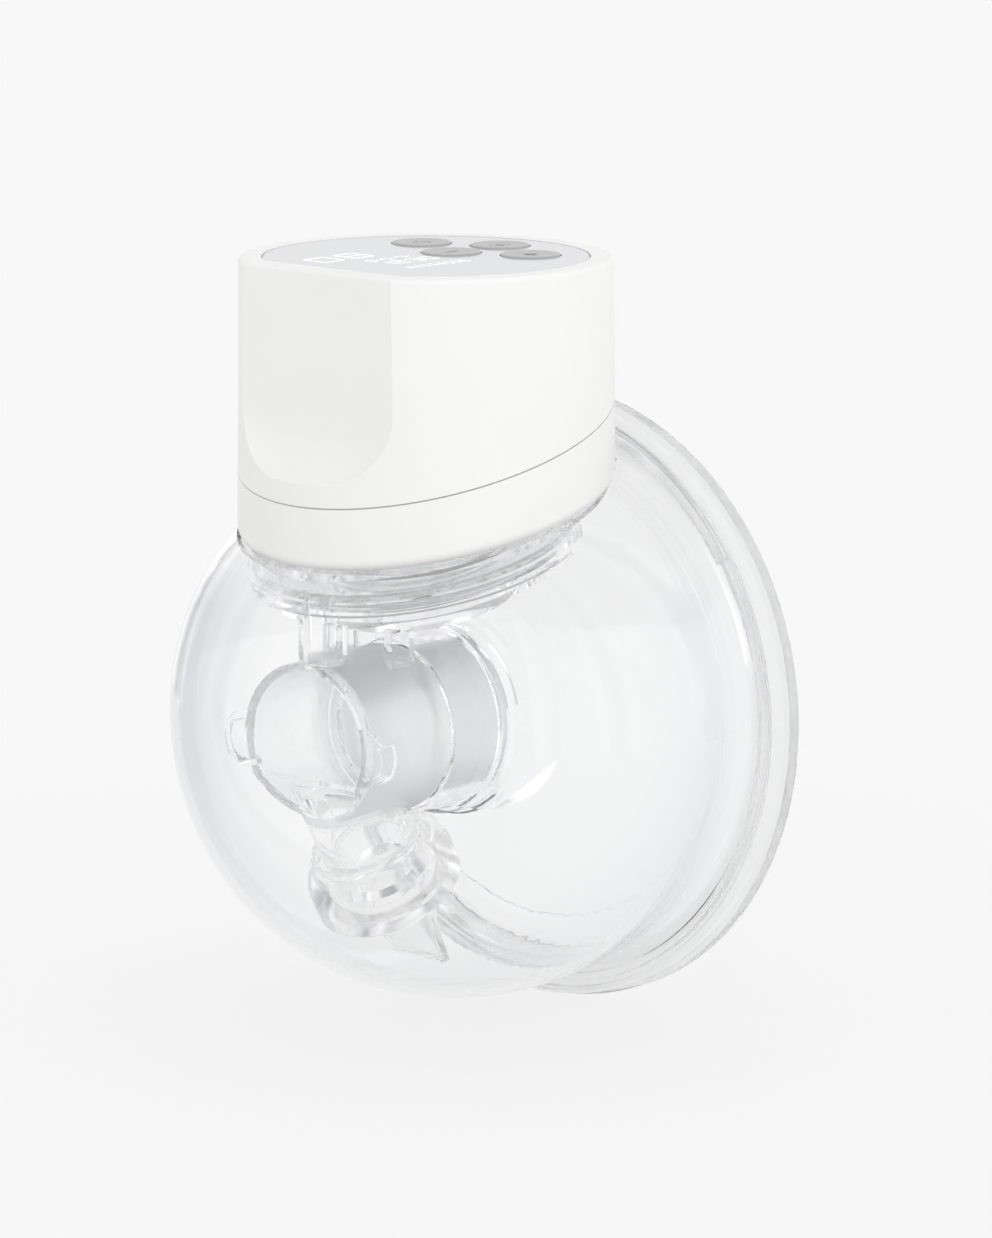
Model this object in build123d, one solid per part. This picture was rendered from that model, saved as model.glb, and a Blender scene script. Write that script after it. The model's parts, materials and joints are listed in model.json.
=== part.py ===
from build123d import *

import os
from math import cos, radians, sin, tan

# Wearable breast pump, millimetres. The tunnel axis is Y, the wearer is on the +Y side, +Z is up and the
# origin is the centre of the tunnel mouth, where the 24 mm tunnel opens into the breast shield.

# Milk collector: a clear dome, revolved about the tunnel axis and cut flat under the pump unit
DOME_RADIUS = 57.0
DOME_DEPTH = 56.0
DOME_WIDEST_Y = 2.0
DOME_POWER = 2.2
DOME_WALL = 1.8
RIM_RADIUS = 55.2
RIM_BEAD_RADIUS = 57.1
RIM_Y = 27.4
BEAD_DEPTH = 2.4
DECK_BACK_Y = 22.8

# Neck: the seat of the pump unit, on an axis that leans forward
NECK_TILT = 13.5
NECK_Y, NECK_Z = -13.7, 42.1
NECK_HOLE_RADIUS = 29.6
NECK_COLLAR_RADIUS = 31.8
NECK_COLLAR_DEPTH = 5.6
SEAL_THICKNESS = 0.9
DECK_GAP = 0.3
DECK_THICKNESS = 1.8

# Linker: barrel, dish under the diaphragm, air stem and valve port
BARREL_FRONT_Y, BARREL_SHOULDER_Y, BARREL_END_Y = -43.8, -19.7, -3.6
BARREL_FRONT_RADIUS, BARREL_SHOULDER_RADIUS, BARREL_TAIL_RADIUS = 15.9, 16.6, 15.8
BARREL_BORE = 14.3
BARREL_PLATE, BARREL_EDGE, CHIN_Z = 1.8, 0.8, -7.2
DISH_RADIUS, DISH_BORE = 29.1, 27.4
DISH_FLOOR_RADIUS = 31.4
DISH_LIP_RADIUS = 33.0
DISH_TOP, DISH_LIP_TOP, DISH_LIP_BOTTOM = -1.0, -6.5, -9.2
DISH_FLOOR_TOP, DISH_FLOOR_BOTTOM = -9.7, -11.3
HUB_RADIUS, HUB_BORE, HUB_BOTTOM = 19.0, 17.4, -18.0
STEM_Y, STEM_RADIUS, STEM_BORE = -38.0, 4.7, 3.0
EAR_X, EAR_Z, EAR_RADIUS, EAR_WALL, EAR_DEPTH, EAR_WEB, EAR_TOP = 15.0, -0.6, 5.7, 1.2, 4.2, 1.0, 2.7
RIB_X, RIB_WIDTH, RIB_FRONT_Y, RIB_BACK_Y, RIB_LOW_Z, RIB_TOP_Z = 8.0, 2.0, -28.4, -22.0, 13.2, 21.4
PORT_RADIUS, PORT_BORE, PORT_TOP, PORT_BORE_TOP, PORT_LENGTH = 9.6, 7.0, -20.0, -16.0, 8.0

# Suction diaphragm: a silicone bowl in the dish, with a rolled groove and ridge in its floor
BOWL_WALL, BOWL_TOP, BOWL_FLOOR, BOWL_BOTTOM = 1.6, -0.4, -8.6, -9.6
BOWL_RIDGE_OUTER, BOWL_RIDGE_INNER, BOWL_RIDGE_HEIGHT = 17.5, 14.5, 1.2
BOWL_GROOVE_OUTER, BOWL_GROOVE_INNER, BOWL_GROOVE_DEPTH = 21.5, 18.5, 0.5

# Valve axis: from the bottom of the barrel, down and back
VALVE_TILT = 30.0
VALVE_Y, VALVE_Z = -25.95, -21.2
VALVE_CAP_RADIUS, VALVE_CAP_TOP, VALVE_CAP_EDGE = 11.6, -0.3, 0.6
VALVE_NECK_RADIUS, VALVE_NECK = 11.1, 1.5
VALVE_BELL = [(12.0, 2.1), (13.4, 3.3), (14.4, 5.2)]
VALVE_FLANGE_RADIUS, VALVE_FLANGE_TOP, VALVE_FLANGE_END, VALVE_FLANGE_EDGE = 14.9, 8.4, 13.4, 1.0
VALVE_BILL_RADIUS, VALVE_BILL_BORE = 9.1, 7.5
VALVE_LIP_WIDTH, VALVE_LIP_DEPTH, VALVE_SLIT = 15.2, 2.0, 0.6
VALVE_LENGTH = 30.6

# Breast shield: 24 mm tunnel, flared funnel and a channelled rim that grips the collector
TUNNEL_RADIUS = 12.0
TUNNEL_LENGTH = 20.0
SHIELD_WALL = 2.0
FUNNEL_RADIUS, FUNNEL_DEPTH, FUNNEL_POWER = 55.0, 31.0, 0.6
COLLAR_END_RADIUS, COLLAR_RADIUS, COLLAR_STEPS = 17.2, 18.3, [(19.3, -8.0), (20.2, -3.2)]
SHIELD_RADIUS = 62.4
SHIELD_LIP_RADIUS = 61.7
SHIELD_FACE_Y, SHIELD_LIP_Y = 32.4, 24.2
CHANNEL_RADIUS, CHANNEL_Y = 57.5, 27.8
GROOVE_OUTER, GROOVE_INNER, GROOVE_DEPTH = 60.1, 59.1, 1.3
LIP_STEP_OUTER, LIP_STEP_INNER = 60.3, 57.7
LIP_STEP_HEIGHT, LIP_STEP_ANGLE = 1.0, 34.0

# Pump unit housing: a slightly drafted drum with a scooped flat front
DRUM_Y = -8.5
DRUM_TOP_RADIUS, DRUM_BASE_RADIUS, DRUM_BASE_Z = 36.7, 37.3, 30.0
DRUM_TOP_Z = 92.1
DRUM_WALL = 1.8
SEAM_Y, SEAM_Z, SEAM_TILT = -8.0, 57.75, 15.9
SEAM_HALF_GAP = 0.15
FRONT_FLAT_Y = -39.7
SCOOP_HALF_WIDTH, SCOOP_BOTTOM_Z, SCOOP_CORNER, SCOOP_SWEEP = 25.0, 60.5, 18.5, 10.0
RELIEF_RADIUS, RELIEF_Y = 63.2, 22.3
TOP_EDGE_RADIUS, BASE_EDGE_RADIUS = 1.0, 2.0
FLOOR_THICKNESS = 2.0
SPIGOT_RADIUS, SPIGOT_BORE, SPIGOT_DEPTH = 25.0, 22.6, 3.5

# Top stack: lens, buttons, keypad, board
LENS_MARGIN, LENS_TOP_Z, LENS_THICKNESS, LENS_GAP = 4.5, 92.0, 1.6, 0.12
LEDGE_WIDTH, LEDGE_BOTTOM_Z = 1.6, 88.9
BUTTON_RADIUS, BUTTON_HOLE, BUTTON_LIP = 5.9, 6.1, 6.8
BUTTON_TOP_Z, BUTTON_LIP_TOP_Z, BUTTON_LIP_BOTTOM_Z = 92.35, 90.2, 89.5
BUTTON_CENTRES = {
    "button_power": (-14.4, 6.0),
    "button_mode": (0.0, 13.2),
    "button_plus": (14.4, 6.0),
    "button_minus": (0.0, -1.2),
}
KEYPAD_Z, KEYPAD_THICKNESS, KEYPAD_NUB_Z, KEYPAD_NUB_RADIUS = 87.1, 0.7, 88.95, 3.6
SWITCH_RADIUS, SWITCH_HEIGHT = 2.2, 0.8
BOARD_Z, BOARD_THICKNESS, BOARD_RADIUS = 84.5, 1.6, 29.4
DISPLAY_Y, DISPLAY_WIDTH, DISPLAY_DEPTH, DISPLAY_TOP_Z = -19.6, 27.0, 20.0, 90.2
FRAME_PLATE_Z, FRAME_PLATE, FRAME_RADIUS = 72.6, 1.4, 31.0
POST_RADIUS = 2.7
POSTS = [(-19.0, 11.5), (19.0, 11.5), (-18.5, -29.0), (18.5, -29.0)]
BATTERY_SIZE = (44.0, 32.0, 8.4)
FOAM_THICKNESS = 0.5
USB_WIDTH, USB_HEIGHT, USB_LENGTH, USB_RECESS = 8.94, 3.26, 7.3, 0.6

# Air pump and release valve, side by side across the housing
PUMP_Y, PUMP_Z = -16.0, 60.0
MOTOR_RADIUS, MOTOR_WALL = 10.1, 0.9
MOTOR_BACK_X, MOTOR_FRONT_X = -27.0, -3.0
MOTOR_CAP, MOTOR_HUB_RADIUS, MAGNET_BORE, MAGNET_GAP = 2.5, 2.5, 7.4, 4.4
MOUNT_X, MOUNT_WALL, MOUNT_WIDTH = (-22.0, -6.0), 1.6, 3.2
SHAFT_RADIUS = 1.0
PUMP_SIDE, PUMP_CORNER = 24.0, 3.0
CRANK_OFFSET, CRANK_PIN_RADIUS, WOBBLE_HOLE = 1.4, 0.9, 3.0
CUP_CIRCLE, CUP_RADIUS = 6.6, 3.6
RELEASE_Y = 3.0
TEE_X = 11.5
NOZZLE_LOW_Z, NOZZLE_STEP_Z, NOZZLE_TOP_Z = 46.5, 49.4, 53.4
HOSE_RADIUS, HOSE_BORE, BARB_RADIUS, BARB_BORE = 2.1, 1.4, 1.4, 0.8
HOSE_CORNER_X, HOSE_BEND = 28.8, 4.4
SCREW_SPOTS = [(-24.6, 13.8), (24.6, 13.8), (0.0, -34.0)]
SCREW_BOSS, SCREW_HEAD, SCREW_SHANK = 2.7, 2.0, 1.0
SCREW_HEAD_HEIGHT, SCREW_SEAT, SCREW_REACH = 1.3, 1.6, 6.0
BOSS_TOP_Z, BOSS_LOW_Z, BOSS_PILOT_Z = 72.2, 36.0, 70.6

NECK = Plane(origin=(0, NECK_Y, NECK_Z), x_dir=(1, 0, 0),
             z_dir=(0, -sin(radians(NECK_TILT)), cos(radians(NECK_TILT))))
SEAM = Plane(origin=(0, SEAM_Y, SEAM_Z), x_dir=(1, 0, 0),
             z_dir=(0, -sin(radians(SEAM_TILT)), cos(radians(SEAM_TILT))))
VALVE = Plane(origin=(0, VALVE_Y, VALVE_Z), x_dir=(1, 0, 0),
              z_dir=(0, sin(radians(VALVE_TILT)), -cos(radians(VALVE_TILT))))
BIG = 200.0


# ---------------------------------------------------------------- helpers

def disc(plane, radius, low, high, bore=0.0):
    """A round disc, or a ring when it has a bore, between two heights along the plane's axis."""
    body = plane * Pos(0, 0, (low + high) / 2) * Cylinder(radius, high - low)
    if bore:
        body -= plane * Pos(0, 0, (low + high) / 2) * Cylinder(bore, high - low + 2)
    return body


def cone(plane, low_radius, high_radius, low, high):
    return plane * Pos(0, 0, (low + high) / 2) * Cone(low_radius, high_radius, high - low)


def above(plane, height=0.0):
    """Everything on the outer side of a plane."""
    return plane * Pos(0, 0, height + BIG / 2) * Box(BIG, BIG, BIG)


def block(low, high):
    size = [h - l for l, h in zip(low, high)]
    centre = [(l + h) / 2 for l, h in zip(low, high)]
    return Pos(*centre) * Box(*size)


def along_x(y, z):
    return Plane(origin=(0, y, z), x_dir=(0, 1, 0), z_dir=(1, 0, 0))


def along_y(x, z):
    return Plane(origin=(x, 0, z), x_dir=(1, 0, 0), z_dir=(0, 1, 0))


def along_z(x, y):
    return Plane(origin=(x, y, 0), x_dir=(1, 0, 0), z_dir=(0, 0, 1))


def spin(*edges):
    """Revolve a closed outline of (radius, y) edges about the tunnel axis."""
    outline = Face(Wire(list(edges)))
    return revolve(outline, Axis.Y)


# ---------------------------------------------------------------- milk collector

def dome_solid(inset=0.0, back=RIM_Y):
    """The filled dome, smaller by the inset all round; its back can reach past the rim."""
    radius, depth = DOME_RADIUS - inset, DOME_DEPTH - inset
    steps = 12
    curve = []
    for i in range(steps + 1):
        angle = radians(90.0 * i / steps)
        r = radius * max(cos(angle), 0.0) ** (2 / DOME_POWER) if i < steps else 0.0
        y = DOME_WIDEST_Y - depth * sin(angle) ** (2 / DOME_POWER)
        curve.append((r, y))
    rim = RIM_RADIUS - inset
    front = Spline(curve, tangents=[(0, -1), (-1, 0)])
    side = Spline([(rim, RIM_Y), (radius, DOME_WIDEST_Y)], tangents=[(-0.12, -1), (0, -1)])
    edges = [front, Line((0, DOME_WIDEST_Y - depth), (0, back))]
    edges += [Line((0, back), (rim, back)), side]
    if back > RIM_Y:
        edges.append(Line((rim, back), (rim, RIM_Y)))
    return spin(*edges)


def make_milk_collector():
    top = above(NECK, -DECK_GAP) & block((-BIG, -BIG, 0), (BIG, DECK_BACK_Y, BIG))
    under_deck = above(NECK, -DECK_GAP - DECK_THICKNESS)
    under_deck &= block((-BIG, -BIG, 0), (BIG, DECK_BACK_Y + DECK_THICKNESS, BIG))
    shell = dome_solid() + disc(along_y(0, 0), RIM_BEAD_RADIUS, RIM_Y - BEAD_DEPTH, RIM_Y)
    shell -= top
    shell -= dome_solid(DOME_WALL, back=RIM_Y + 2) - under_deck
    shell += disc(NECK, NECK_COLLAR_RADIUS, -NECK_COLLAR_DEPTH, -DECK_GAP)
    return shell - disc(NECK, NECK_HOLE_RADIUS, -NECK_COLLAR_DEPTH - 1, 1)


def make_neck_seal():
    return disc(NECK, NECK_COLLAR_RADIUS, -NECK_COLLAR_DEPTH - SEAL_THICKNESS, -NECK_COLLAR_DEPTH,
                bore=DISH_RADIUS + 0.1)


# ---------------------------------------------------------------- linker, diaphragm and valve

def collar_clearance():
    """Room for the shield's collar, which slides over the tail of the barrel."""
    gap, step_y = 0.4, COLLAR_STEPS[0][1]
    return cone(along_y(0, 0), COLLAR_END_RADIUS + gap, COLLAR_RADIUS + gap, BARREL_SHOULDER_Y + 0.05, step_y)


def chin(depth=0.0):
    """Everything in front of the slanted wall under the front plate, which runs parallel to the port."""
    tilt = radians(VALVE_TILT)
    wall = Plane(origin=(0, BARREL_FRONT_Y, CHIN_Z), x_dir=(1, 0, 0), z_dir=(0, -cos(tilt), -sin(tilt)))
    return above(wall, -depth)


def make_linker():
    axis, front = along_y(0, 0), BARREL_FRONT_Y
    body = cone(axis, BARREL_FRONT_RADIUS, BARREL_SHOULDER_RADIUS, front, BARREL_SHOULDER_Y)
    body = fillet(body.edges().sort_by(Axis.Y)[0], BARREL_EDGE) - chin()
    body += disc(axis, BARREL_TAIL_RADIUS, BARREL_SHOULDER_Y, BARREL_END_Y)
    for x in (-EAR_X, EAR_X):
        ear_axis = along_y(x, EAR_Z)
        hook = disc(ear_axis, EAR_RADIUS, front, front + EAR_DEPTH, bore=EAR_RADIUS - EAR_WALL)
        body += hook - block((-BIG, -BIG, EAR_Z + EAR_TOP), (BIG, BIG, BIG))
        body += disc(ear_axis, EAR_RADIUS, front, front + EAR_WEB)
    body += disc(NECK, DISH_RADIUS, DISH_FLOOR_BOTTOM, DISH_TOP)
    body += disc(NECK, DISH_LIP_RADIUS, DISH_LIP_BOTTOM, DISH_LIP_TOP)
    body += disc(NECK, DISH_FLOOR_RADIUS, DISH_FLOOR_BOTTOM, DISH_LIP_BOTTOM)
    body += disc(NECK, HUB_RADIUS, HUB_BOTTOM, DISH_FLOOR_BOTTOM)
    stem = along_z(0, STEM_Y)
    body += disc(stem, STEM_RADIUS, BARREL_BORE, 26.0)
    for x in (-RIB_X, RIB_X):
        body += block((x - RIB_WIDTH / 2, RIB_FRONT_Y, RIB_LOW_Z), (x + RIB_WIDTH / 2, RIB_BACK_Y, RIB_TOP_Z))
    port = disc(VALVE, PORT_RADIUS, PORT_TOP, PORT_LENGTH)
    port &= block((-BIG, front, -BIG), (BIG, BIG, CHIN_Z))
    body += port - collar_clearance()
    body -= disc(NECK, DISH_BORE, DISH_FLOOR_TOP, 5.0)
    body -= disc(NECK, HUB_BORE, HUB_BOTTOM + 1.6, DISH_FLOOR_TOP + 1)
    body -= disc(stem, STEM_BORE, 0.0, 30.0)
    body -= disc(VALVE, PORT_BORE, PORT_BORE_TOP, PORT_LENGTH + 1)
    return body - (disc(axis, BARREL_BORE, front + BARREL_PLATE, BARREL_END_Y + 1) - chin(BARREL_PLATE))


def make_suction_diaphragm():
    """Silicone bowl that lines the dish, with a turned-over edge, a ridge and a rolling groove."""
    radius = DISH_BORE - 0.15
    body = disc(NECK, radius, BOWL_BOTTOM, BOWL_TOP)
    body += disc(NECK, DISH_RADIUS, DISH_TOP + 0.02, BOWL_TOP)
    body -= disc(NECK, radius - BOWL_WALL, BOWL_FLOOR, 1.0)
    groove_low, ridge_high = BOWL_FLOOR - BOWL_GROOVE_DEPTH, BOWL_FLOOR + BOWL_RIDGE_HEIGHT
    body -= disc(NECK, BOWL_GROOVE_OUTER, groove_low, BOWL_FLOOR + 0.1, bore=BOWL_GROOVE_INNER)
    return body + disc(NECK, BOWL_RIDGE_OUTER, BOWL_FLOOR, ridge_high, bore=BOWL_RIDGE_INNER)


def valve_bell():
    """The valve's outside: a flat cap over a groove, then a shoulder that swells to a thick round flange."""
    cap, top, edge = VALVE_CAP_RADIUS, VALVE_CAP_TOP, VALVE_CAP_EDGE
    flange, end, round_edge = VALVE_FLANGE_RADIUS, VALVE_FLANGE_END, VALVE_FLANGE_EDGE
    neck, flange_top = (VALVE_NECK_RADIUS, VALVE_NECK), (flange, VALVE_FLANGE_TOP)
    return VALVE * Rot(X=90) * spin(
        Line((0, top), (cap - edge, top)),
        RadiusArc((cap - edge, top), (cap, top + edge), -edge),
        Line((cap, top + edge), neck),
        Spline([neck, *VALVE_BELL, flange_top], tangents=[(0.3, 1), (0, 1)]),
        Line(flange_top, (flange, end - round_edge)),
        RadiusArc((flange, end - round_edge), (flange - round_edge, end), -round_edge),
        Line((flange - round_edge, end), (0, end)),
        Line((0, end), (0, top)),
    )


def make_duckbill_valve():
    """Silicone cap over the port, a thick flange and a flattened bill with a slit."""
    body = valve_bell()
    root, tip = VALVE.offset(VALVE_FLANGE_END), VALVE.offset(VALVE_LENGTH)
    lips = tip * SlotOverall(VALVE_LIP_WIDTH, VALVE_LIP_DEPTH)
    body += loft([root * Circle(VALVE_BILL_RADIUS), lips], ruled=True)
    bore, bore_end = PORT_RADIUS + 0.05, PORT_LENGTH + 1
    body -= disc(VALVE, bore, VALVE_CAP_TOP - 1, bore_end)
    body -= cone(VALVE, bore, VALVE_BILL_BORE, bore_end, VALVE_FLANGE_END)
    slit = tip * SlotOverall(VALVE_LIP_WIDTH - 2.4, VALVE_SLIT)
    body -= loft([root * Circle(VALVE_BILL_BORE), slit], ruled=True)
    body -= disc(along_y(0, 0), BARREL_SHOULDER_RADIUS + 0.1, BARREL_FRONT_Y - 5, BARREL_END_Y)
    return body - collar_clearance()


# ---------------------------------------------------------------- breast shield

def funnel_point(radius, offset=0.0):
    """A point of the breast side of the funnel, or that point moved outward along the surface's normal."""
    span = FUNNEL_RADIUS - TUNNEL_RADIUS
    share = (radius - TUNNEL_RADIUS) / span
    y = FUNNEL_DEPTH * share ** FUNNEL_POWER
    if not offset:
        return radius, y
    slope = FUNNEL_DEPTH * FUNNEL_POWER / span * share ** (FUNNEL_POWER - 1)
    length = (1 + slope * slope) ** 0.5
    return radius + offset * slope / length, y - offset / length


def shield_lip_step():
    """The front lip stands a little prouder over the top of the rim, and steps down at both ends."""
    reach_x, reach_z = BIG * cos(radians(LIP_STEP_ANGLE)), BIG * sin(radians(LIP_STEP_ANGLE))
    face = Plane(origin=(0, SHIELD_LIP_Y - 5, 0), x_dir=(1, 0, 0), z_dir=(0, -1, 0))
    sector = face * Polygon((0, 0), (reach_x, reach_z), (0, 2 * BIG), (-reach_x, reach_z), align=None)
    ring = disc(along_y(0, 0), LIP_STEP_OUTER, SHIELD_LIP_Y - LIP_STEP_HEIGHT, SHIELD_LIP_Y + 0.6,
                bore=LIP_STEP_INNER)
    return ring & extrude(sector, -10)


def make_breast_shield():
    inner = [funnel_point(r) for r in (TUNNEL_RADIUS, 12.6, 15.0, 20.0, 27.0, 36.0, 46.0, FUNNEL_RADIUS)]
    outer = [funnel_point(r, SHIELD_WALL) for r in (51.5, 44.0, 36.0, 27.5, 22.0, 19.4)]
    face, lip = SHIELD_FACE_Y, SHIELD_LIP_Y
    socket_inner, socket_outer = TUNNEL_RADIUS + SHIELD_WALL, BARREL_TAIL_RADIUS + 0.3
    groove_floor = lip + GROOVE_DEPTH
    (step, step_y), (root, root_y) = COLLAR_STEPS
    tail, tail_y = COLLAR_END_RADIUS, BARREL_SHOULDER_Y + 0.4
    corners = [
        inner[-1], (56.6, face - 0.3), (57.2, face), (SHIELD_RADIUS - 1.2, face), (SHIELD_RADIUS, face - 1.2),
        (SHIELD_RADIUS, face - 4.2), (SHIELD_LIP_RADIUS, face - 4.8), (SHIELD_LIP_RADIUS, lip + 0.7),
        (SHIELD_LIP_RADIUS - 0.7, lip), (GROOVE_OUTER + 0.2, lip), (GROOVE_OUTER, groove_floor),
        (GROOVE_INNER, groove_floor), (GROOVE_INNER - 0.2, lip), (CHANNEL_RADIUS + 0.4, lip),
        (CHANNEL_RADIUS, lip + 0.4), (CHANNEL_RADIUS, CHANNEL_Y), (outer[0][0] + 1.2, CHANNEL_Y), outer[0],
    ]
    collar = [
        outer[-1], (root + 0.6, 0.4), (root, -0.6), (root, root_y + 0.4), (root - 0.4, root_y), (step, root_y),
        (step, step_y + 0.4), (step - 0.4, step_y), (COLLAR_RADIUS, step_y), (tail, tail_y + 0.3),
        (tail - 0.3, tail_y), (socket_outer, tail_y), (socket_outer, BARREL_END_Y + 0.4),
        (socket_inner, BARREL_END_Y + 0.4), (socket_inner, -TUNNEL_LENGTH + 0.8),
        (socket_inner - 0.8, -TUNNEL_LENGTH), (TUNNEL_RADIUS, -TUNNEL_LENGTH), inner[0],
    ]
    edges = [Spline(inner, tangents=[(0, 1), (1, 0.43)])]
    edges += [Line(a, b) for a, b in zip(corners, corners[1:])]
    edges.append(Spline(outer))
    edges += [Line(a, b) for a, b in zip(collar, collar[1:])]
    return spin(*edges) + shield_lip_step()


# ---------------------------------------------------------------- pump unit housing

def scoop(inset):
    """The cut that makes the flat front: a wide U whose edge sweeps out to the drum's surface."""
    sweep = SCOOP_SWEEP + inset
    half, bottom, top = SCOOP_HALF_WIDTH + sweep, SCOOP_BOTTOM_Z - sweep, DRUM_TOP_Z + 2 * SCOOP_SWEEP
    flat = Plane(origin=(0, FRONT_FLAT_Y + inset, 0), x_dir=(1, 0, 0), z_dir=(0, -1, 0))
    shape = Pos(0, (bottom + top) / 2) * Rectangle(2 * half, top - bottom)
    outline = flat * fillet(shape.vertices().sort_by(Axis.Y)[:2], SCOOP_CORNER + sweep)
    cutter = extrude(outline, sweep + 1)
    rim = cutter.faces().sort_by(Axis.Y)[-1].edges().sort_by(Axis.Z)[:-1]
    return fillet(rim, sweep)


def drum(inset=0.0, top=DRUM_TOP_Z):
    """The housing's filled outline, smaller by the inset, cut flat in front and relieved for the shield."""
    body = cone(along_z(0, DRUM_Y), DRUM_BASE_RADIUS - inset, DRUM_TOP_RADIUS - inset, DRUM_BASE_Z, DRUM_TOP_Z)
    body -= scoop(inset)
    body -= disc(along_y(0, 0), RELIEF_RADIUS + inset, RELIEF_Y - inset, BIG)
    if top < DRUM_TOP_Z:
        body -= above(along_z(0, 0), top)
    return body


def top_outline(inset, low, high):
    """A slab of the drum's top outline, smaller by the inset."""
    slab = disc(along_z(0, DRUM_Y), DRUM_TOP_RADIUS - inset, low, high)
    return slab - block((-BIG, -BIG, low - 1), (BIG, FRONT_FLAT_Y + inset, high + 1))


def screw_seat(y):
    """Height of the seat under a housing screw's head, in the sloping floor."""
    return NECK_Z + tan(radians(NECK_TILT)) * (y - NECK_Y) + SCREW_SEAT


def screw_bosses(low, high):
    bosses = [disc(along_z(x, y), SCREW_BOSS, low, high) for x, y in SCREW_SPOTS]
    front_y = SCREW_SPOTS[-1][1]
    bosses.append(block((-0.8, front_y - 12, low), (0.8, front_y, high)))
    return bosses


def make_upper_housing():
    shell = drum()
    shell = fillet(shell.faces().sort_by(Axis.Z)[-1].outer_wire().edges(), TOP_EDGE_RADIUS)
    shell -= drum(DRUM_WALL, top=LEDGE_BOTTOM_Z)
    for boss in screw_bosses(SEAM_Z - 12.5, BOSS_TOP_Z):
        shell += boss & drum(0.6)
    shell &= above(SEAM, SEAM_HALF_GAP)
    shell -= top_outline(LENS_MARGIN, LENS_TOP_Z - LENS_THICKNESS - 0.1, BIG)
    shell -= top_outline(LENS_MARGIN + LEDGE_WIDTH, 80.0, BIG)
    for x, y in SCREW_SPOTS:
        shell -= disc(along_z(x, y), SCREW_SHANK + 0.02, BOSS_LOW_Z, BOSS_PILOT_Z)
    mouth = along_x(DRUM_Y, BOARD_Z - USB_HEIGHT / 2)
    port = extrude(mouth * SlotOverall(USB_WIDTH + 0.5, USB_HEIGHT + 0.5), -BIG / 2)
    return shell - port


def make_lower_housing():
    shell = drum() & above(NECK, 0.0)
    base = shell.faces().filter_by(lambda f: abs(f.center().Z - NECK_Z) < 12 and f.area > 2000)
    shell = fillet(base.sort_by(Axis.Z)[0].outer_wire().edges(), BASE_EDGE_RADIUS)
    shell -= drum(DRUM_WALL) & above(NECK, FLOOR_THICKNESS)
    for boss in screw_bosses(BOSS_LOW_Z, SEAM_Z + 8.5):
        shell += boss & drum(0.6) & above(NECK, 0.5)
    for x in MOUNT_X:
        saddle = block((x - 1.2, PUMP_Y - 13, DRUM_BASE_Z + 8), (x + 1.2, PUMP_Y + 13, PUMP_Z - 5))
        saddle -= disc(along_x(PUMP_Y, PUMP_Z), MOTOR_RADIUS + MOUNT_WALL + 0.1, -BIG, BIG)
        shell += saddle & above(NECK, 1.0)
    shell -= above(SEAM, -SEAM_HALF_GAP)
    shell += disc(NECK, SPIGOT_RADIUS, -SPIGOT_DEPTH, 1.0, bore=SPIGOT_BORE)
    nozzle = along_z(TEE_X, RELEASE_Y)
    shell += disc(nozzle, BARB_RADIUS + 0.8, NOZZLE_LOW_Z, NOZZLE_STEP_Z)
    shell += disc(nozzle, BARB_RADIUS, NOZZLE_LOW_Z, NOZZLE_TOP_Z)
    shell -= disc(nozzle, BARB_BORE, DRUM_BASE_Z, NOZZLE_TOP_Z + 1)
    for x, y in SCREW_SPOTS:
        shell -= disc(along_z(x, y), SCREW_SHANK + 0.25, DRUM_BASE_Z, BOSS_PILOT_Z)
        shell -= disc(along_z(x, y), SCREW_HEAD + 0.3, DRUM_BASE_Z, screw_seat(y))
    return shell


def make_housing_seal():
    band = above(SEAM, -SEAM_HALF_GAP + 0.01) - above(SEAM, SEAM_HALF_GAP - 0.01)
    return (drum(0.5) - drum(DRUM_WALL - 0.1)) & band


def make_display_lens():
    lens = top_outline(LENS_MARGIN + LENS_GAP, LENS_TOP_Z - LENS_THICKNESS, LENS_TOP_Z)
    lens = chamfer(lens.faces().sort_by(Axis.Z)[-1].outer_wire().edges(), 0.25)
    for x, y in BUTTON_CENTRES.values():
        lens -= disc(along_z(x, y), BUTTON_HOLE, 80.0, 100.0)
    return lens


def make_button(x, y):
    """Cap with a shallow dished top, a retaining lip under the lens and a short plunger."""
    axis = along_z(x, y)
    cap = disc(axis, BUTTON_RADIUS, BUTTON_LIP_TOP_Z - 0.1, BUTTON_TOP_Z)
    cap = fillet(cap.faces().sort_by(Axis.Z)[-1].outer_wire().edges(), 0.4)
    dish_radius = 40.0
    cap -= Pos(x, y, BUTTON_TOP_Z - 0.25 + dish_radius) * Sphere(dish_radius)
    return cap + disc(axis, BUTTON_LIP, BUTTON_LIP_BOTTOM_Z, BUTTON_LIP_TOP_Z)


def make_keypad():
    pad = top_outline(LENS_MARGIN + 6.0, KEYPAD_Z, KEYPAD_Z + KEYPAD_THICKNESS)
    pad -= block((-40, -60, 80), (40, -8.0, 95))
    for x, y in BUTTON_CENTRES.values():
        pad += disc(along_z(x, y), KEYPAD_NUB_RADIUS, KEYPAD_Z, KEYPAD_NUB_Z)
    return pad


def make_tact_switches():
    low = BOARD_Z + BOARD_THICKNESS
    return [disc(along_z(x, y), SWITCH_RADIUS, low, low + SWITCH_HEIGHT) for x, y in BUTTON_CENTRES.values()]


def make_control_board():
    margin = DRUM_TOP_RADIUS - BOARD_RADIUS
    board = top_outline(margin, BOARD_Z, BOARD_Z + BOARD_THICKNESS)
    for x, y in POSTS:
        board -= disc(along_z(x, y), SCREW_SHANK + 0.1, 80.0, 90.0)
    return board


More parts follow.
